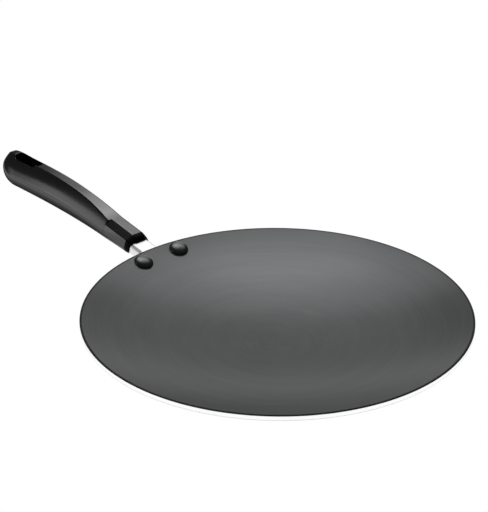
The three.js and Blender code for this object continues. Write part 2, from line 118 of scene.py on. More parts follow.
class Value:
    """One socket of a material. Arithmetic on it adds Math nodes, and add() puts any other node beside it."""

    def __init__(self, tree, socket=None):
        self.tree, self.socket = tree, socket

    def add(self, kind, settings, sockets, output=0):
        """Adds a node: its settings first, then a value or a link for each named or numbered socket."""
        node = self.tree.nodes.new("ShaderNode" + kind)
        for key, setting in settings.items():
            setattr(node, key, setting)
        for key, value in sockets.items():
            if isinstance(value, Value):
                self.tree.links.new(value.socket, node.inputs[key])
            else:
                node.inputs[key].default_value = value
        return Value(self.tree, node.outputs[output])

    def math(self, operation, *values):
        """One Math node."""
        return self.add("Math", {"operation": operation}, dict(enumerate(values)))

    def __add__(self, other):
        return self.math("ADD", self, other)

    def __sub__(self, other):
        return self.math("SUBTRACT", self, other)

    def __rsub__(self, other):
        return self.math("SUBTRACT", other, self)

    def __mul__(self, other):
        return self.math("MULTIPLY", self, other)

    def __truediv__(self, other):
        return self.math("DIVIDE", self, other)

    def __pow__(self, other):
        return self.math("POWER", self, other)

    def __rpow__(self, other):
        return self.math("POWER", other, self)

    __radd__, __rmul__ = __add__, __mul__

    def place(self):
        """The point's x, y and z in the object's frame, in metres."""
        spot = self.add("TexCoord", {}, {}, "Object")
        split = [self.add("SeparateXYZ", {}, {0: spot}, axis) for axis in range(3)]
        return spot, *split

    def noise(self, vector, scale, detail=2.0, roughness=0.5):
        """Fractal noise from 0 to 1."""
        sockets = {"Vector": vector, "Scale": scale, "Detail": detail, "Roughness": roughness}
        return self.add("TexNoise", {}, sockets)

    def tint(self, share, first, second):
        """A colour between two."""
        colours = {0: share, 6: (*first, 1), 7: (*second, 1)}
        return self.add("Mix", {"data_type": "RGBA"}, colours, 2)

    def bump(self, height, depth, strength=1.0):
        """A normal from a height of 0 to 1 that stands for a depth in metres."""
        return self.add("Bump", {}, {"Height": height, "Distance": depth, "Strength": strength})


def finish(name):
    """A new material: its name, its starting Value, and a function that sets the shader's sockets."""
    material = bpy.data.materials.new(name)
    material.use_nodes = True
    tree = material.node_tree
    shader = tree.nodes["Principled BSDF"]

    def shade(sockets):
        for key, value in sockets.items():
            if isinstance(value, Value):
                tree.links.new(value.socket, shader.inputs[key])
            else:
                shader.inputs[key].default_value = value

    return material, Value(tree), shade


def turning(v, x, y, pitch, waver):
    """Marks of a lathe tool: noise over the distance from the axis, which drifts a little round the turn."""
    r = (x * x + y * y) ** 0.5
    rings = v.add("CombineXYZ", {}, {0: r / pitch, 1: x / r * waver, 2: y / r * waver})
    return v.noise(rings, 1.0, 3.0, 0.6)


def pan_profile():
    """From the middle of the base out along the outside, round the trimmed edge and back down the inside."""
    edge = PAN_RADIUS - RIM_ROUND
    out = np.linspace(BASE_RADIUS, edge, WALL_ROWS)
    back = np.linspace(edge - EDGE_BAND, FLOOR_RADIUS, WALL_ROWS)
    base = np.linspace(0, BASE_RADIUS, FLOOR_ROWS, endpoint=False)
    middle = np.linspace(FLOOR_RADIUS, 0, FLOOR_ROWS)[1:]
    lean = 180 / pi * atan(wall_slope(edge))
    low = arc(edge, outside_height(edge) + RIM_ROUND, RIM_ROUND, lean - 90, 0, EDGE_ROWS)
    high = arc(edge, inside_height(edge) - RIM_ROUND, RIM_ROUND, 0, 90, EDGE_ROWS)
    bare = np.concatenate([
        np.stack([base, 0 * base], -1),
        np.stack([out[:-1], outside_height(out[:-1])], -1),
        low,
        high[:1],
    ])
    coated = np.concatenate([
        high[1:],
        np.stack([back, inside_height(back)], -1),
        np.stack([middle, 0 * middle + FLOOR_HEIGHT], -1),
    ])
    return bare, coated


bare_rows, coated_rows = pan_profile()
pan_points, pan_faces = turned(np.concatenate([bare_rows, coated_rows]), PAN_AROUND)
pan = piece("pan", pan_points, pan_faces, "pan_coated", "pan_body", sharp=50)


def anodised():
    """Dark anodised metal with a fine turned grain: satin, and a little uneven in tone round the turn."""
    material, v, shade = finish("anodised_turned")
    spot, x, y, _ = v.place()
    fine = turning(v, x, y, pitch=0.0011, waver=2.0)
    broad = turning(v, x, y, pitch=0.009, waver=1.0)
    cloud = v.noise(spot, 14.0, 3.0)
    share = fine * 0.35 + broad * 0.35 + cloud * 0.3
    shade({
        "Metallic": 0.21,
        "Base Color": v.tint(share, (0.135, 0.138, 0.140), (0.239, 0.243, 0.246)),
        "Specular IOR Level": 0.0,
        "Roughness": 0.19 + fine * 0.06 + cloud * 0.05,
        "Normal": v.bump(fine, 0.00001, 0.5),
    })
    return material


def bare_aluminium():
    """Turned aluminium, bright and a little streaked round the turn."""
    material, v, shade = finish("aluminium_turned")
    spot, x, y, _ = v.place()
    fine = turning(v, x, y, pitch=0.0008, waver=1.5)
    cloud = v.noise(spot, 25.0, 3.0)
    shade({
        "Metallic": 1.0,
        "Base Color": v.tint(cloud, (0.93, 0.93, 0.925), (0.98, 0.98, 0.975)),
        "Roughness": 0.24 + fine * 0.12,
        "Anisotropic": 0.5,
        "Anisotropic Rotation": 0.25,
        "Normal": v.bump(fine, 0.00002, 0.6),
    })
    return material


def anodised_corner_painted_shade():
    """The same coat on the rounded corner, darker as painted shade for the dark line along it, with the odd
    lighter rub.
    """
    material, v, shade = finish("anodised_corner_painted_shade")
    spot = v.place()[0]
    rub = v.noise(spot, 90.0, 3.0)
    # Painted shade: the base colour is a darker copy of the coat's, for the dark line along the rim's corner.
    shade({
        "Metallic": 0.2,
        "Base Color": v.tint(rub, (0.035, 0.035, 0.036), (0.075, 0.075, 0.076)),
        "Specular IOR Level": 0.0,
        "Roughness": 0.30 + rub * 0.08,
    })
    return material


pan.data.materials.append(anodised())
pan.data.materials.append(bare_aluminium())
pan.data.materials.append(anodised_corner_painted_shade())
bare_faces = (len(bare_rows) - 2) * PAN_AROUND
corner_faces = (EDGE_ROWS + 1) * PAN_AROUND
coat = np.zeros(len(pan.data.polygons), np.int32)
coat[:bare_faces] = 1
# Painted shade: the rounded corner gets the darker copy of the coat.
coat[bare_faces:bare_faces + corner_faces] = 2
coat[-2 * PAN_AROUND:-PAN_AROUND] = 1
pan.data.polygons.foreach_set("material_index", coat)

# Bracket
# A strip of 2 mm stainless steel, pressed to the outside of the wall, bent up past the rim and folded down
# at both sides into a channel, the tongue that the handle slides over. Buffed bright after pressing.
FIT, BRACKET_SHEET = 0.3, 2
RIVET_INSET, RIVET_SPACING = 9.4, 34.2
FLANGE_SIDE, FLANGE_END, FLANGE_CORNER = 10.6, 16.5, 10
NECK_RADIUS, FOLD_LENGTH, TONGUE_TILT = 25, 5, radians(9)
TONGUE_WIDTH, TONGUE_HEIGHT, TONGUE_BEND, TONGUE_LENGTH = 18.4, 6.6, 3.2, 57
MOUTH_GAP, SHEET_CHAMFER = 15.5, 0.25
FLANGE_ROWS, NECK_ROWS, TONGUE_ROWS, SHEET_COLUMNS, FOLD_COLUMNS = 44, 28, 24, 16, 14

flange_half = RIVET_SPACING / 2 + FLANGE_SIDE
flange_length = RIVET_INSET + FLANGE_END
sheet_offset = PAN_SHEET + FIT + BRACKET_SHEET / 2
rim_lean = atan(wall_slope(PAN_RADIUS))
neck_x = PAN_RADIUS + sheet_offset * sin(rim_lean)
neck_z = RIM_HEIGHT - sheet_offset * cos(rim_lean)
neck_end_x = neck_x + NECK_RADIUS * (sin(rim_lean) - sin(TONGUE_TILT))
neck_end_z = neck_z + NECK_RADIUS * (cos(TONGUE_TILT) - cos(rim_lean))
mouth_x = PAN_RADIUS + MOUTH_GAP
mouth_z = neck_end_z + (mouth_x - neck_end_x) * tan(TONGUE_TILT)
tongue_top = BRACKET_SHEET / 2
tongue_bottom = tongue_top - TONGUE_HEIGHT


def bracket_line():
    """Middle of the sheet along the wall, round the neck, then straight: its place, lean and half width."""
    along = flange_length * (1 - np.cos(np.linspace(0, pi / 2, FLANGE_ROWS, endpoint=False)))
    r = PAN_RADIUS - flange_length + along
    lean = np.arctan(wall_slope(r))
    from_end = np.maximum(FLANGE_CORNER - along, 0)
    half = flange_half - FLANGE_CORNER + np.sqrt(FLANGE_CORNER ** 2 - from_end ** 2)
    flange = [r + sheet_offset * np.sin(lean), inside_height(r) - sheet_offset * np.cos(lean), lean, half]
    bend = np.linspace(rim_lean, TONGUE_TILT, NECK_ROWS, endpoint=False)
    neck = [
        neck_x + NECK_RADIUS * (sin(rim_lean) - np.sin(bend)),
        neck_z + NECK_RADIUS * (np.cos(bend) - cos(rim_lean)),
        bend,
        np.full(NECK_ROWS, flange_half),
    ]
    x = np.linspace(neck_end_x, mouth_x + TONGUE_LENGTH * cos(TONGUE_TILT), TONGUE_ROWS)
    straight = np.ones(TONGUE_ROWS)
    tongue = [x, mouth_z + (x - mouth_x) * tan(TONGUE_TILT), TONGUE_TILT * straight, flange_half * straight]
    return np.concatenate([flange, neck, tongue], axis=1)


def folded_half(face):
    """Half of the tongue's section on one face of the sheet: flat, round fold, straight side."""
    flat = TONGUE_WIDTH / 2 - BRACKET_SHEET / 2 - TONGUE_BEND
    across = np.linspace(0, flat, SHEET_COLUMNS, endpoint=False)[1:]
    top = np.stack([across, np.full(SHEET_COLUMNS - 1, face)], -1)
    fold = arc(flat, -TONGUE_BEND, TONGUE_BEND + face, 90, 0, FOLD_COLUMNS)
    side = [[flat + TONGUE_BEND + face, tongue_bottom]]
    return np.concatenate([top, fold, side])


def bracket_mesh():
    """Flat sections turn into folded ones past the rim. Widths are laid round the pan's axis."""
    x, z, lean, half = bracket_line()
    share = np.clip((x - neck_x + FOLD_LENGTH) / (neck_end_x - neck_x + FOLD_LENGTH), 0, 1)
    folded = (share ** 2 * (3 - 2 * share))[:, None]
    loops = []
    for face, side, order in ((1, 1, -1), (1, -1, 1), (-1, -1, -1), (-1, 1, 1)):
        end = folded_half(face * BRACKET_SHEET / 2)[::order]
        step = np.linspace(0, 1, len(end) + 1)[1:][::order]
        across = half[:, None] * step * (1 - folded) + end[:, 0] * folded
        height = face * BRACKET_SHEET / 2 * (1 - folded) + end[:, 1] * folded
        reach = x[:, None] - height * np.sin(lean)[:, None]
        turn = side * across / reach
        lift = z[:, None] + height * np.cos(lean)[:, None]
        loops.append(np.stack([reach * np.cos(turn), reach * np.sin(turn), lift], -1))
    rings = np.concatenate(loops, axis=1)
    index = np.arange(rings.shape[0] * rings.shape[1]).reshape(rings.shape[:2])
    half_loop = rings.shape[1] // 2
    start, last = index[0], index[-1]
    near, far = np.arange(half_loop - 1), rings.shape[1] - 1 - np.arange(half_loop - 1)
    ends = np.stack([start[far], start[far - 1], start[near + 1], start[near]], -1).tolist()
    ends += np.stack([last[near], last[near + 1], last[far - 1], last[far]], -1).tolist()
    return rings.reshape(-1, 3), quads(index) + ends


bracket = piece("bracket", *bracket_mesh(), "bracket_polished", "handle_bracket")
deburr = bracket.modifiers.new("deburred", "BEVEL")
deburr.width, deburr.segments = SHEET_CHAMFER * MM, 2
deburr.limit_method, deburr.angle_limit = "ANGLE", radians(50)


def polished_steel():
    """Buffed stainless: bright but soft, with faint lines along the strip and a slight clouding."""
    material, v, shade = finish("stainless_polished")
    spot, x, y, z = v.place()
    lines = v.noise(v.add("CombineXYZ", {}, {0: x * 40.0, 1: y * 2600.0, 2: z * 2600.0}), 1.0, 3.0)
    cloud = v.noise(spot, 45.0, 4.0)
    shade({
        "Metallic": 1.0,
        "Base Color": v.tint(cloud, (0.97, 0.97, 0.965), (0.99, 0.99, 0.985)),
        "Roughness": 0.47 + lines * 0.08 + cloud * 0.06,
        "Normal": v.bump(lines, 0.000006, 0.5),
    })
    return material


bracket.data.materials.append(polished_steel())

# Rivets
# Two aluminium rivets with domed heads, enamelled gloss black, square to the wall either side of the handle.
# Each passes through pan and flange, and its tail is formed against the flange from outside.
HEAD_RADIUS, HEAD_HEIGHT, SHANK_RADIUS = 7.3, 2.7, 3
TAIL_RADIUS, TAIL_HEIGHT, TAIL_ROUND = 5, 2, 0.9
HEAD_LIP, HEAD_UNDERCUT, RIVET_AROUND, DOME_ROWS, TAIL_ROWS = 0.35, 0.1, 96, 28, 6

rivet_radius = PAN_RADIUS - RIVET_INSET
rivet_lean = atan(wall_slope(rivet_radius))
rivet_turn = asin(RIVET_SPACING / 2 / rivet_radius)


def rivet_profile():
    """Up from the tail: a flat with a rolled edge, the shank, then a quarter ellipse over a small lip."""
    tail_top = -(PAN_SHEET + FIT + BRACKET_SHEET) - FIT
    tail = arc(TAIL_RADIUS - TAIL_ROUND, tail_top - TAIL_HEIGHT + TAIL_ROUND, TAIL_ROUND, -90, 0, TAIL_ROWS)
    angle = np.linspace(0, pi / 2, DOME_ROWS)
    dome_height = HEAD_HEIGHT - HEAD_LIP
    dome = np.stack([HEAD_RADIUS * np.cos(angle), FIT + HEAD_LIP + dome_height * np.sin(angle)], -1)
    return np.concatenate([
        [[0, tail_top - TAIL_HEIGHT]],
        tail,
        [[TAIL_RADIUS, tail_top], [SHANK_RADIUS, tail_top]],
        [[SHANK_RADIUS, FIT], [HEAD_RADIUS - HEAD_UNDERCUT, FIT]],
        dome[:-1],
        [[0, FIT + HEAD_HEIGHT]],
    ])


def on_rivet_axis(points, turn):
    """Leans a rivet made on Z square to the wall, sets it on the wall and swings it round the pan."""
    x, y, z = points.T
    out = rivet_radius + x * cos(rivet_lean) - z * sin(rivet_lean)
    up = inside_height(rivet_radius) + x * sin(rivet_lean) + z * cos(rivet_lean)
    return np.stack([out * cos(turn) - y * sin(turn), out * sin(turn) + y * cos(turn), up], -1)


def black_enamel():
    """Gloss black enamel over the formed head, with a slight unevenness from dipping."""
    material, v, shade = finish("enamel_black")
    spot = v.place()[0]
    uneven = v.noise(spot, 220.0, 2.0)
    grain = v.noise(spot, 1900.0, 2.0)
    shade({
        "Base Color": v.tint(uneven, (0.003, 0.003, 0.0032), (0.006, 0.006, 0.0064)),
        "Roughness": 0.26 + grain * 0.08,
        "IOR": 1.72,
        "Normal": v.bump(uneven, 0.00012, 0.35),
    })
    return material


enamel = black_enamel()
rivet_points, rivet_faces = turned(rivet_profile(), RIVET_AROUND)
for side, turn in (("left", rivet_turn), ("right", -rivet_turn)):
    spots = on_rivet_axis(rivet_points, turn)
    rivet = piece("rivet_head_" + side, spots, rivet_faces, "rivet_black", "rivet_" + side)
    rivet.data.materials.append(enamel)

# Grip
# One moulding of black phenolic: a flat along the top with a crisp crease beside it, a notch with a tilted
# land in one side of the neck, a matt lip round the socket for the tongue, a hanging slot and a pocket for
# the screw.
GRIP_LENGTH, GRIP_WIDTH, WIDEST_AT_MOUTH, WIDEST_AT_BUTT = 169.3, 32.9, 0.41, 0.38
MOUTH_SIDE_WALL, MOUTH_TOP_WALL, MOUTH_BOTTOM_WALL = 1.5, 3.9, 2.65
NECK_LENGTH, NECK_RISE, TOP_RISE, BOTTOM_RISE, TOP_EASE, BOTTOM_EASE = 31, 5.45, 19.45, 9.55, 3.15, 2.55
BUTT_ROUND, BUTT_LIFT, BUTT_CURVE, BUTT_TURN = 23.3, 7.8, 2.32, radians(83.5)
NOSE_LENGTH, NOSE_INSET = 5.5, 3.4
FLAT_WIDTH, FLARE_WIDTH, FLARE_LENGTH = 7.9, 12.7, 47.5
NOTCH_FROM_MIDDLE, LAND_DROP, LAND_MOUTH_EDGE, LAND_STEP_EDGE, LAND_BROW = 2.1, 2.5, 1.75, 2.9, 0.85
SHOULDER_STEEP, SHOULDER_SOFT = radians(49), radians(34)
SIDE_CURVE, SOLE_HALF, EDGE_ROUND = 2.3, 3, 0.3
CROWN_COLUMNS, LAND_COLUMNS, BROW_COLUMNS, SIDE_COLUMNS, SOLE_COLUMNS = 8, 10, 16, 24, 5
LAND_START, BROW_START, SHOULDER_START = 0.05, 0.06, 0.02
UPPER_COLUMNS = CROWN_COLUMNS + LAND_COLUMNS + BROW_COLUMNS
HALF_COLUMNS = UPPER_COLUMNS + SIDE_COLUMNS + SOLE_COLUMNS

mouth_top = mouth_z + tongue_top + FIT + MOUTH_TOP_WALL
mouth_bottom = mouth_z + tongue_bottom - FIT - MOUTH_BOTTOM_WALL
mouth_width = TONGUE_WIDTH + 2 * (FIT + MOUTH_SIDE_WALL)


def grip_lines(along):
    """Lines that the grip follows from mouth to butt, at a distance from the mouth, as a dictionary."""
    neck_top = mouth_top + NECK_RISE * along / NECK_LENGTH
    share = np.clip((along - NECK_LENGTH) / (GRIP_LENGTH - NECK_LENGTH - BUTT_ROUND), 0, 1)
    body_top = mouth_top + NECK_RISE + (TOP_RISE - NECK_RISE) * (1 - (1 - share) ** TOP_EASE)
    highest = np.where(along < NECK_LENGTH, neck_top, body_top)
    lowest = mouth_bottom + BOTTOM_RISE * (1 - (1 - np.clip(along / GRIP_LENGTH, 0, 1)) ** BOTTOM_EASE)
    butt = np.clip((along - GRIP_LENGTH + BUTT_ROUND) / BUTT_ROUND, 0, 1)
    shrink = (1 - butt ** BUTT_CURVE) ** (1 / BUTT_CURVE)
    nose = np.clip((NOSE_LENGTH - along) / NOSE_LENGTH, 0, 1)
    inset = NOSE_INSET * (1 - np.sqrt(1 - nose ** 2))
    level_share = WIDEST_AT_MOUTH + (WIDEST_AT_BUTT - WIDEST_AT_MOUTH) * along / GRIP_LENGTH
    level = lowest + (highest - lowest) * level_share
    widest = level + BUTT_LIFT * butt ** 2
    wide = (mouth_width + (GRIP_WIDTH - mouth_width) * along / GRIP_LENGTH) / 2
    half = wide * shrink - inset
    flare = np.clip((NECK_LENGTH + FLARE_LENGTH - along) / FLARE_LENGTH, 0, 1)
    body = np.clip((along - NECK_LENGTH) / (GRIP_LENGTH - NECK_LENGTH), 0, 1)
    return {
        "top": widest + (highest - level) * shrink - inset,
        "widest": widest,
        "depth": (level - lowest) * shrink - inset,
        "half": half,
        "flat": (FLAT_WIDTH + (FLARE_WIDTH - FLAT_WIDTH) * flare ** 2) / 2 * half / wide,
        "slope": np.tan(SHOULDER_STEEP + (SHOULDER_SOFT - SHOULDER_STEEP) * body),
        "land_edge": LAND_MOUTH_EDGE + (LAND_STEP_EDGE - LAND_MOUTH_EDGE) * along / NECK_LENGTH,
        "sole": np.minimum(SOLE_HALF, half / 2),
    }


def parabola(t, start, pull, end):
    """Height on a quadratic Bezier curve from its start, pulled towards the second height, to its end."""
    return (1 - t) ** 2 * start + 2 * t * (1 - t) * pull + t ** 2 * end


def upper_height(along, across):
    """Height of the body's upper skin: the flat, then a parabola from the crease to the side."""
    g = grip_lines(along)
    brow = g["half"] - g["flat"]
    t = 1 - np.sqrt(1 - np.clip((np.abs(across) - g["flat"]) / brow, 0, 1))
    return parabola(t, g["top"], g["top"] - brow * g["slope"], g["widest"])


def lower_height(along, across):
    """Height of the lower skin: the sole, then a superellipse up to the side."""
    g = grip_lines(along)
    out = np.clip((np.abs(across) - g["sole"]) / (g["half"] - g["sole"]), 0, 1) ** (SIDE_CURVE / 2)
    return g["widest"] - g["depth"] * (1 - out ** 2) ** (1 / SIDE_CURVE)


def ramp(skip, values):
    """A number for each column of a half section: zero up to a group, its values, then the last one held."""
    return np.concatenate([np.zeros(skip), values, np.full(HALF_COLUMNS - skip - len(values), values[-1])])


crown = ramp(0, np.linspace(0, 1, CROWN_COLUMNS))
eased = EDGE_ROUND * np.where(np.arange(HALF_COLUMNS) < CROWN_COLUMNS, crown, 0) ** 2
land = ramp(CROWN_COLUMNS, np.linspace(LAND_START, 1, LAND_COLUMNS))
brow_turn = ramp(CROWN_COLUMNS + LAND_COLUMNS, np.linspace(BROW_START, 1, BROW_COLUMNS))
shoulder_turn = ramp(CROWN_COLUMNS, np.linspace(SHOULDER_START, 1, LAND_COLUMNS + BROW_COLUMNS))
side_turn = ramp(UPPER_COLUMNS, np.linspace(0, pi / 2, SIDE_COLUMNS + 1)[1:])
under_sole = ramp(UPPER_COLUMNS + SIDE_COLUMNS, np.linspace(0, 1, SOLE_COLUMNS + 1)[1:])


def grip_half(along, notched):
    """Half sections from the top's middle to the sole's. The plain upper half is the flat and a parabola. The
    notched one is a strip of the flat, the land and a parabola. Below are a superellipse and the sole."""
    g = grip_lines(along)
    top, widest, half, sole = g["top"], g["widest"], g["half"], g["sole"]
    brow = half - g["flat"]
    plain_across = g["flat"] * crown - eased + brow * (1 - (1 - shoulder_turn) ** 2)
    plain_height = parabola(shoulder_turn, top, top - brow * g["slope"], widest)
    land_end = half - g["land_edge"]
    land_height = top - LAND_DROP * land
    land_across = NOTCH_FROM_MIDDLE * crown - eased + (land_end - NOTCH_FROM_MIDDLE) * land
    notch_across = land_across + g["land_edge"] * (1 - (1 - brow_turn) ** 2)
    notch_height = parabola(brow_turn, land_height, land_height + (widest - land_height) * LAND_BROW, widest)
    across = plain_across * (1 - notched) + notch_across * notched
    height = plain_height * (1 - notched) + notch_height * notched
    power = 2 / SIDE_CURVE
    across = sole * (1 - under_sole) + (across - sole) * np.abs(np.cos(side_turn)) ** power
    return across, height - g["depth"] * np.sin(side_turn) ** power


# The socket, in the tongue's frame: a box with round upper corners
SOCKET_HALF, SOCKET_ROOF, SOCKET_DECK = TONGUE_WIDTH / 2 + FIT, tongue_top + FIT, tongue_bottom - FIT
ROOF_ROUND, DECK_ROUND, LIP_ROUND = TONGUE_BEND + BRACKET_SHEET / 2 + FIT, 0.4, 0.25
NOSE_ROWS, NOSE_TESTS = 16, 400
SOCKET_STOPS = np.array([1, 0.6, 0.3, 0.1, 0.0])
socket_end = TONGUE_LENGTH * cos(TONGUE_TILT) + FIT


def socket_offset(across, height):
    """Distance of a point outside the socket's section, and the direction square to it."""
    tall, centre = (SOCKET_ROOF - SOCKET_DECK) / 2, (SOCKET_ROOF + SOCKET_DECK) / 2
    corner = np.where(height > centre, ROOF_ROUND, DECK_ROUND)
    q = np.stack([across - SOCKET_HALF + corner, np.abs(height - centre) - tall + corner], -1)
    reach = np.linalg.norm(np.maximum(q, 0), axis=-1)
    distance = np.minimum(q.max(-1), 0) + reach - corner
    flat_way = np.stack([q[..., 0] >= q[..., 1], q[..., 0] < q[..., 1]], -1).astype(float)
    round_way = np.maximum(q, 0) / np.maximum(reach, 1e-9)[..., None]
    way = np.where((q.min(-1) > 0)[..., None], round_way, flat_way)
    way[..., 1] *= np.where(height > centre, 1, -1)
    return distance, way


def socket_height(along, height):
    """Height in the socket's section of a point past the mouth: the socket climbs with the tongue."""
    return (height - mouth_z - along * tan(TONGUE_TILT)) * cos(TONGUE_TILT)


# The notch ends in a step: rows about its place, and the notch's share in each
STEP_OFFSETS = np.array([-0.6, -0.2, -0.07, 0.07, 0.2, 0.6])
STEP_SHARES = [1, 0.95, 0.78, 0.2, 0.04, 0]
LAND_ROWS, FLARE_ROWS, BODY_ROWS, BUTT_ROWS = 16, 34, 60, 30
step_rows = NECK_LENGTH + STEP_OFFSETS
body_rows = np.concatenate([
    np.linspace(NOSE_LENGTH, step_rows[0], LAND_ROWS)[1:-1],
    step_rows,
    np.linspace(step_rows[-1], NECK_LENGTH + FLARE_LENGTH, FLARE_ROWS)[1:],
    np.linspace(NECK_LENGTH + FLARE_LENGTH, GRIP_LENGTH - BUTT_ROUND, BODY_ROWS)[1:],
    GRIP_LENGTH - BUTT_ROUND + BUTT_ROUND * np.sin(np.linspace(0, BUTT_TURN, BUTT_ROWS)[1:]),
])


def half_grip(notched):
    """One half's skin from the lip to the butt, and the socket's wall from its inner end out to the lip. The
    lip is where the rounded nose last lies inside the socket. Each point has its distance past the mouth, its
    width and its height."""
    tests = np.linspace(0, NOSE_LENGTH, NOSE_TESTS)[:, None] * np.ones(HALF_COLUMNS)
    across, height = grip_half(tests, notched)
    in_socket = socket_offset(across, socket_height(tests, height))[0] < 0
    lip = NOSE_LENGTH * (in_socket * np.arange(1, NOSE_TESTS + 1)[:, None]).max(axis=0) / NOSE_TESTS
    start = lip + LIP_ROUND
    nose = start + (NOSE_LENGTH - start) * (1 - np.cos(np.linspace(0, pi / 2, NOSE_ROWS)))[:, None]
    along = np.concatenate([nose, body_rows[:, None] * np.ones(HALF_COLUMNS)])
    across, height = grip_half(along, notched * np.interp(along[:, :1], step_rows, STEP_SHARES))
    lip_across, lip_height = grip_half(lip[None], notched)
    lip_section = socket_height(lip[None], lip_height)
    gap, way = socket_offset(lip_across, lip_section)
    deep = start + (socket_end - start) * SOCKET_STOPS[:, None]
    wall_across = lip_across - gap * way[..., 0] + 0 * deep
    wall_height = mouth_z + deep * tan(TONGUE_TILT) + (lip_section - gap * way[..., 1]) / cos(TONGUE_TILT)
    return np.stack([along, across, height], -1), np.stack([deep, wall_across, wall_height], -1)


def whole(left, right):
    """Loops from the top's middle round by +Y: a left half, then the mirror image of a right half."""
    return np.concatenate([left, right[:, -2:0:-1] * (1, -1, 1)], axis=1) + (mouth_x, 0, 0)


left_skin, left_wall = half_grip(1)
right_skin, right_wall = half_grip(0)
skin, socket = whole(left_skin, right_skin), whole(left_wall, right_wall)
stations = left_skin[:, 0, 0]
LOOP = skin.shape[1]
skin_index = np.arange(skin.shape[0] * LOOP).reshape(-1, LOOP)
grip_points = [skin.reshape(-1, 3)]
grip_faces = []
keep = np.ones((skin.shape[0] - 1, LOOP), bool)


def add_rings(rings):
    """Adds rings of points to the grip and gives their numbers."""
    start = sum(len(p) for p in grip_points)
    grip_points.append(rings.reshape(-1, 3))
    return start + np.arange(rings.shape[0] * rings.shape[1]).reshape(rings.shape[:2])


def tube(index):
    """Quads along rings of numbers, facing out as the skin does."""
    return [f[::-1] for f in quads(index)]


def hole_loop(first, last, middle, reach):
    """Numbers of the skin's points round a rectangle of its grid, whose faces are taken out for a hole."""
    columns = np.arange(middle - reach, middle + reach + 1)
    rows = np.arange(first, last + 1)
    keep[np.ix_(rows[:-1], columns[:-1] % LOOP)] = False
    edge = [(first, c) for c in columns[:-1]] + [(r, columns[-1]) for r in rows[:-1]]
    edge += [(last, c) for c in columns[:0:-1]] + [(r, columns[0]) for r in rows[:0:-1]]
    at = np.array(edge)
    return skin_index[at[:, 0], at[:, 1] % LOOP]


def rows_between(low, high):
    """First and last station past the two places along the grip."""
    return int(np.searchsorted(stations, low)), int(np.searchsorted(stations, high))


# The hanging slot: long and round-ended, with a small round where it meets the skin
SLOT_LENGTH, SLOT_WIDTH, SLOT_FROM_BUTT, SLOT_EDGE, SLOT_ROOM = 31, 12, 27.3, 0.35, 3.0
SLOT_REACH = CROWN_COLUMNS + LAND_COLUMNS
SLOT_SKIRT_ROWS, SLOT_ROUND_ROWS, SLOT_WALL_ROWS = 8, 5, 5
slot_middle = GRIP_LENGTH - SLOT_FROM_BUTT
slot_rows = rows_between(slot_middle - SLOT_LENGTH / 2 - SLOT_ROOM, slot_middle + SLOT_LENGTH / 2 + SLOT_ROOM)


def slot_rings(loop, height, inward):
    """Rings from a loop on the skin in to the slot's rounded edge. They lie out from the nearest point of the
    slot's middle line, at a shrinking distance, on a skin of that height, then over a quarter round."""
    points = skin.reshape(-1, 3)[loop]
    past, across = points[:, 0] - mouth_x - slot_middle, points[:, 1]
    straight = (SLOT_LENGTH - SLOT_WIDTH) / 2
    line = np.clip(past, -straight, straight)
    far = np.hypot(past - line, across)
    way_along, way_across = (past - line) / far, across / far
    inner = SLOT_WIDTH / 2
    shares = np.linspace(1, 0, SLOT_SKIRT_ROWS)[1:, None]
    turn = np.linspace(0, pi / 2, SLOT_ROUND_ROWS + 1)[1:, None]
    reach = np.concatenate([
        inner + SLOT_EDGE + (far - inner - SLOT_EDGE) * shares,
        inner + SLOT_EDGE * (1 - np.sin(turn)) + 0 * far,
    ])
    sink = np.concatenate([0 * far * shares, SLOT_EDGE * (1 - np.cos(turn)) + 0 * far])
    along = slot_middle + line + way_along * reach
    across = way_across * reach
    return np.stack([mouth_x + along, across, height(along, across) + inward * sink], -1)


top_loop = hole_loop(*slot_rows, 0, SLOT_REACH)
low_loop = hole_loop(*slot_rows, HALF_COLUMNS - 1, SLOT_REACH)
low_loop = low_loop[(2 * SLOT_REACH - np.arange(len(low_loop))) % len(low_loop)]
upper_rings, lower_rings = slot_rings(top_loop, upper_height, -1), slot_rings(low_loop, lower_height, 1)[::-1]
wall_share = np.linspace(0, 1, SLOT_WALL_ROWS + 2)[1:-1, None, None]
slot_wall = upper_rings[-1] * (1 - wall_share) + lower_rings[0] * wall_share
slot_index = add_rings(np.concatenate([upper_rings, slot_wall, lower_rings]))
grip_faces += tube(np.concatenate([top_loop[None], slot_index, low_loop[None]]))

# The counterbore below: a round pocket square to the tongue, where the screw's head and washers sit
SCREW_ALONG, SCREW_SEAT, POCKET_RADIUS, POCKET_EDGE, POCKET_ROOM, POCKET_REACH = 50, 1.8, 5.2, 0.5, 3.0, 13
POCKET_SKIRT_ROWS, POCKET_CLIMBS = 6, np.array([0.08, 0.3, 0.6, 0.95, 1.0])
screw_way = np.array([-sin(TONGUE_TILT), 0, cos(TONGUE_TILT)])
screw_foot = np.array([mouth_x + SCREW_ALONG * cos(TONGUE_TILT), 0, mouth_z + SCREW_ALONG * sin(TONGUE_TILT)])
seat_height = tongue_bottom - FIT - SCREW_SEAT
pocket_depth = (screw_foot[2] - lower_height(SCREW_ALONG, 0.0)) / cos(TONGUE_TILT)
pocket_along = float(screw_foot[0] + pocket_depth * sin(TONGUE_TILT) - mouth_x)


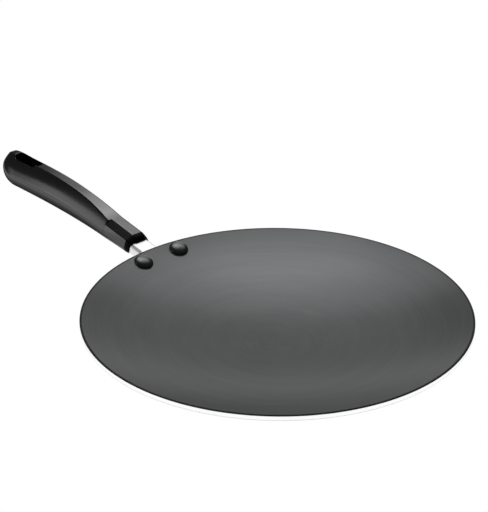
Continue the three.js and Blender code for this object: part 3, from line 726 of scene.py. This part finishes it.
def pocket_rings(loop):
    """Rings from a loop on the lower skin in to the pocket's edge, up its wall and in over its seat."""
    points = skin.reshape(-1, 3)[loop]
    out = np.stack([points[:, 0] - mouth_x - pocket_along, points[:, 1]], -1)
    far = np.linalg.norm(out, axis=-1)
    way = out / far[:, None]
    edge = POCKET_RADIUS + POCKET_EDGE
    shares = np.linspace(1, 0, POCKET_SKIRT_ROWS)[1:, None]
    reach = np.concatenate([edge + (far - edge) * shares, POCKET_RADIUS + 0 * far[None]])
    along, across = pocket_along + way[:, 0] * reach, way[:, 1] * reach
    sides = np.stack([mouth_x + along, across, lower_height(along, across)], -1)
    climb = seat_height - (sides[-1] - screw_foot) @ screw_way
    walls = sides[-1] + POCKET_CLIMBS[:, None, None] * climb[:, None] * screw_way
    middle = walls[-1].mean(axis=0)
    return np.concatenate([sides[:-1], walls, (middle + walls[-1:]) / 2]), middle


pocket_room = POCKET_RADIUS + POCKET_ROOM
pocket_rows = rows_between(pocket_along - pocket_room, pocket_along + pocket_room)
pocket_loop = hole_loop(*pocket_rows, HALF_COLUMNS - 1, POCKET_REACH)
pocket, pocket_middle = pocket_rings(pocket_loop)
pocket_index = add_rings(pocket)
pocket_pole = add_rings(pocket_middle[None, None])[0, 0]
grip_faces += tube(np.concatenate([pocket_loop[None], pocket_index])) + fan(pocket_index[-1], pocket_pole)

# The socket's walls, from its inner end out to the lip, then the skin and the butt's end
socket_index = add_rings(socket)
socket_pole = add_rings(socket[0].mean(axis=0)[None, None])[0, 0]
butt_pole = add_rings(skin[-1].mean(axis=0)[None, None])[0, 0]
skin_faces = np.array(tube(skin_index)).reshape(skin.shape[0] - 1, LOOP, 4)
grip_faces += skin_faces[keep].tolist() + fan(skin_index[-1], butt_pole)
grip_faces += tube(np.concatenate([socket_index, skin_index[:1]])) + fan(socket_index[0][::-1], socket_pole)
grip = piece("grip", np.concatenate(grip_points), grip_faces, "grip_phenolic", "handle_grip", sharp=60)


def phenolic():
    """Black phenolic, semi-gloss from the mould: a slight orange peel and a fine wipe along the handle."""
    material, v, shade = finish("phenolic_black")
    spot, x, y, z = v.place()
    peel = v.noise(spot, 420.0, 2.0)
    wipe = v.noise(v.add("CombineXYZ", {}, {0: x * 30.0, 1: y * 900.0, 2: z * 900.0}), 1.0, 3.0)
    cloud = v.noise(spot, 30.0, 3.0)
    shade({
        "Base Color": v.tint(cloud, (0.006, 0.006, 0.0064), (0.010, 0.010, 0.0104)),
        "Roughness": 0.15 + wipe * 0.06 + cloud * 0.04,
        "IOR": 1.65,
        "Normal": v.bump(peel, 0.00001, 0.3),
    })
    return material


def matt_phenolic():
    """The same moulding where the mould is spark-textured, round the mouth: dull, with a fine grit."""
    material, v, shade = finish("phenolic_matt")
    spot = v.place()[0]
    grit = v.noise(spot, 2600.0, 2.0)
    cloud = v.noise(spot, 60.0, 3.0)
    shade({
        "Base Color": v.tint(cloud, (0.002, 0.002, 0.0021), (0.004, 0.004, 0.0042)),
        "Roughness": 0.46 + grit * 0.12,
        "Specular IOR Level": 0.06,
        "Normal": v.bump(grit, 0.00002, 0.6),
    })
    return material


grip.data.materials.append(phenolic())
grip.data.materials.append(matt_phenolic())
face_middles = np.empty(3 * len(grip.data.polygons), np.float32)
grip.data.polygons.foreach_get("center", face_middles)
on_lip = face_middles[::3] < (mouth_x + NOSE_LENGTH) * MM
grip.data.polygons.foreach_set("material_index", on_lip.astype(np.int32))

# Screw, washers and nut
# A zinc-plated pan-head screw with a split and a plain washer, up from the pocket into a square nut that is
# welded under the tongue.


def zinc():
    """Bright zinc plate: pale, slightly blue, clouded from the bath."""
    material, v, shade = finish("zinc_bright")
    spot = v.place()[0]
    cloud = v.noise(spot, 600.0, 3.0)
    shade({
        "Metallic": 1.0,
        "Base Color": v.tint(cloud, (0.55, 0.56, 0.58), (0.70, 0.71, 0.72)),
        "Roughness": 0.26 + cloud * 0.16,
        "Normal": v.bump(v.noise(spot, 2500.0, 2.0), 0.00001, 0.4),
    })
    return material


plating = zinc()
for name in ("bracket_nut", "plain_washer", "spring_washer", "handle_screw"):
    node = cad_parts[name]
    node.data.materials.clear()
    node.data.materials.append(plating)

# Studio
# White paper under soft lights: a tall and a low one behind the pan, two above it, two to the left for the
# handle. The camera sees a plain white sheet. The pan and handle are lit by a glowing sheet just below it,
# which carries painted shadow: darkened in a strip under the handle and in a disc under the pan.
FLOOR_SIZE, FLOOR_GLOW, STRIP_HALF, STRIP_START, STRIP_EASE = 12.0, 1.05, 0.075, 0.20, 0.01
SHADE_RADIUS, SHADE_EASE, LEFT_ROLL = 0.145, 0.006, 20
SEEN_HEIGHT, FELT_HEIGHT, FELT_GREY, ROOM_GLOW = -0.0002, -0.0004, 0.12, 0.07
CAMERA_BEARING = 137.0
middle = Vector((0, 0, RIM_HEIGHT * MM))


def toward(turn, rise):
    """Direction from the pan, at degrees to the left of straight behind it as the camera sees it, and up."""
    bearing, climb = radians(CAMERA_BEARING + 180 + turn), radians(rise)
    return Vector((cos(bearing) * cos(climb), sin(bearing) * cos(climb), sin(climb)))


def sheet(name, height, material):
    """A square of paper at a height in metres."""
    far = FLOOR_SIZE / 2
    corners = [(x, y, height) for x, y in ((-far, -far), (far, -far), (far, far), (-far, far))]
    mesh = bpy.data.meshes.new(name)
    mesh.from_pydata(corners, [], [(0, 1, 2, 3)])
    mesh.materials.append(material)
    paper = bpy.data.objects.new(name, mesh)
    bpy.context.scene.collection.objects.link(paper)
    return paper


def past_line(distance, ease):
    """A smooth step: 0 well before a line, a half on it and 1 well past it."""
    return (1.0 + e ** (distance / -ease)) ** -1.0


white, v, shade = finish("paper_white")
shade({
    "Base Color": (0, 0, 0, 1),
    "Specular IOR Level": 0.0,
    "Emission Color": (1, 1, 1, 1),
    "Emission Strength": 1.0,
})
seen = sheet("floor_seen", SEEN_HEIGHT, white)
seen.visible_diffuse = seen.visible_glossy = seen.visible_shadow = False

dull, v, shade = finish("paper_glow_painted_shadow")
_, x, y, _ = v.place()
# Painted shadow: the glow is darkened in a strip under the handle and in a disc under the pan.
beside = e ** ((y / STRIP_HALF) ** 2.0 * -1.0)
strip = beside * past_line(x - STRIP_START, STRIP_EASE)
disc = past_line(SHADE_RADIUS - (x * x + y * y) ** 0.5, SHADE_EASE)
painted_shadow = 1.0 - (1.0 - strip) * (1.0 - disc)
shade({
    "Base Color": (FELT_GREY, FELT_GREY, FELT_GREY, 1),
    "Roughness": 0.9,
    "Emission Color": v.tint(painted_shadow, (1, 1, 1), (0, 0, 0)),
    "Emission Strength": FLOOR_GLOW,
})
felt = sheet("floor_felt", FELT_HEIGHT, dull)
felt.visible_camera = False

world = bpy.data.worlds.new("studio")
world.use_nodes = True
room = world.node_tree.nodes["Background"].inputs
room["Color"].default_value = (1, 1, 1, 1)
room["Strength"].default_value = ROOM_GLOW
bpy.context.scene.world = world


def soft_light(name, turn, rise, distance, width, height, glow, roll=0):
    """A rectangular light that faces the pan, rolled by degrees. Its power is pi times area times glow."""
    light = bpy.data.lights.new(name, "AREA")
    light.shape = "RECTANGLE"
    light.size, light.size_y = width, height
    light.energy = pi * width * height * glow
    lamp = bpy.data.objects.new(name, light)
    bpy.context.scene.collection.objects.link(lamp)
    way = toward(turn, rise)
    lamp.location = middle + way * distance
    facing = (-way).to_track_quat("-Z", "Y") @ Quaternion((0, 0, 1), radians(roll))
    lamp.rotation_euler = facing.to_euler()


soft_light("backdrop", turn=-4, rise=20.5, distance=3.5, width=1.5, height=2.6, glow=0.72)
soft_light("horizon", turn=-3, rise=11, distance=3.5, width=1.1, height=0.6, glow=0.6)
soft_light("back_top", turn=-5, rise=46.5, distance=2.4, width=1.6, height=0.68, glow=2.55)
soft_light("overhead", turn=1, rise=56.5, distance=2.4, width=0.72, height=0.68, glow=3.6)
soft_light("left_high", turn=94, rise=21.8, distance=2.5, width=1.3, height=0.92, glow=1.55, roll=LEFT_ROLL)
soft_light("left_low", turn=94, rise=5, distance=2.5, width=1.3, height=0.62, glow=0.95)

bpy.context.scene.view_settings.view_transform = "Standard"

# Camera
# It stands in front of the pan, to the right of the handle, and looks a little past the middle.
CAMERA_DISTANCE, CAMERA_RISE, AIM_TURN, AIM_LIFT, LENS = 1.2792, 28.17, 1.195, 1.776, 126.5625
lens = bpy.data.cameras.new("camera")
lens.lens, lens.sensor_width = LENS, 36
camera = bpy.data.objects.new("camera", lens)
bpy.context.scene.collection.objects.link(camera)
camera.location = middle + toward(180, CAMERA_RISE) * CAMERA_DISTANCE
camera.rotation_euler = toward(AIM_TURN, AIM_LIFT - CAMERA_RISE).to_track_quat("-Z", "Y").to_euler()
bpy.context.scene.camera = camera
